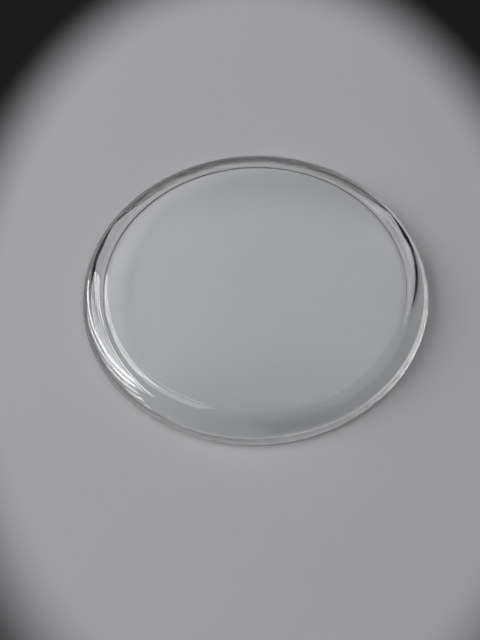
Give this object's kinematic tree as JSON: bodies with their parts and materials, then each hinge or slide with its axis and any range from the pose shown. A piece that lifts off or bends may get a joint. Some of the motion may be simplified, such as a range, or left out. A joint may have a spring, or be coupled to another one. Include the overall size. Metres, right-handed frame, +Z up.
{
  "type": "watch crystal",
  "caption": "Round domed acrylic watch crystal that snaps into a bezel or case and covers the dial and hands.",
  "frame": {"origin": "middle of the flat ring that the crystal stands on, at the base of the part", "axes": "+Z up along the dome's axis, from the standing ring to the crown; X and Y are alike, because the part is turned round Z"},
  "size_m": [0.035, 0.035, 0.0032],
  "materials": {
    "clear_acrylic": "polished and water-clear outside and in, the standing ring's face left matt from turning, with a few fine handling hairlines"
  },
  "bodies": {
    "root": {"crystal": "clear_acrylic"}
  },
  "joints": []
}
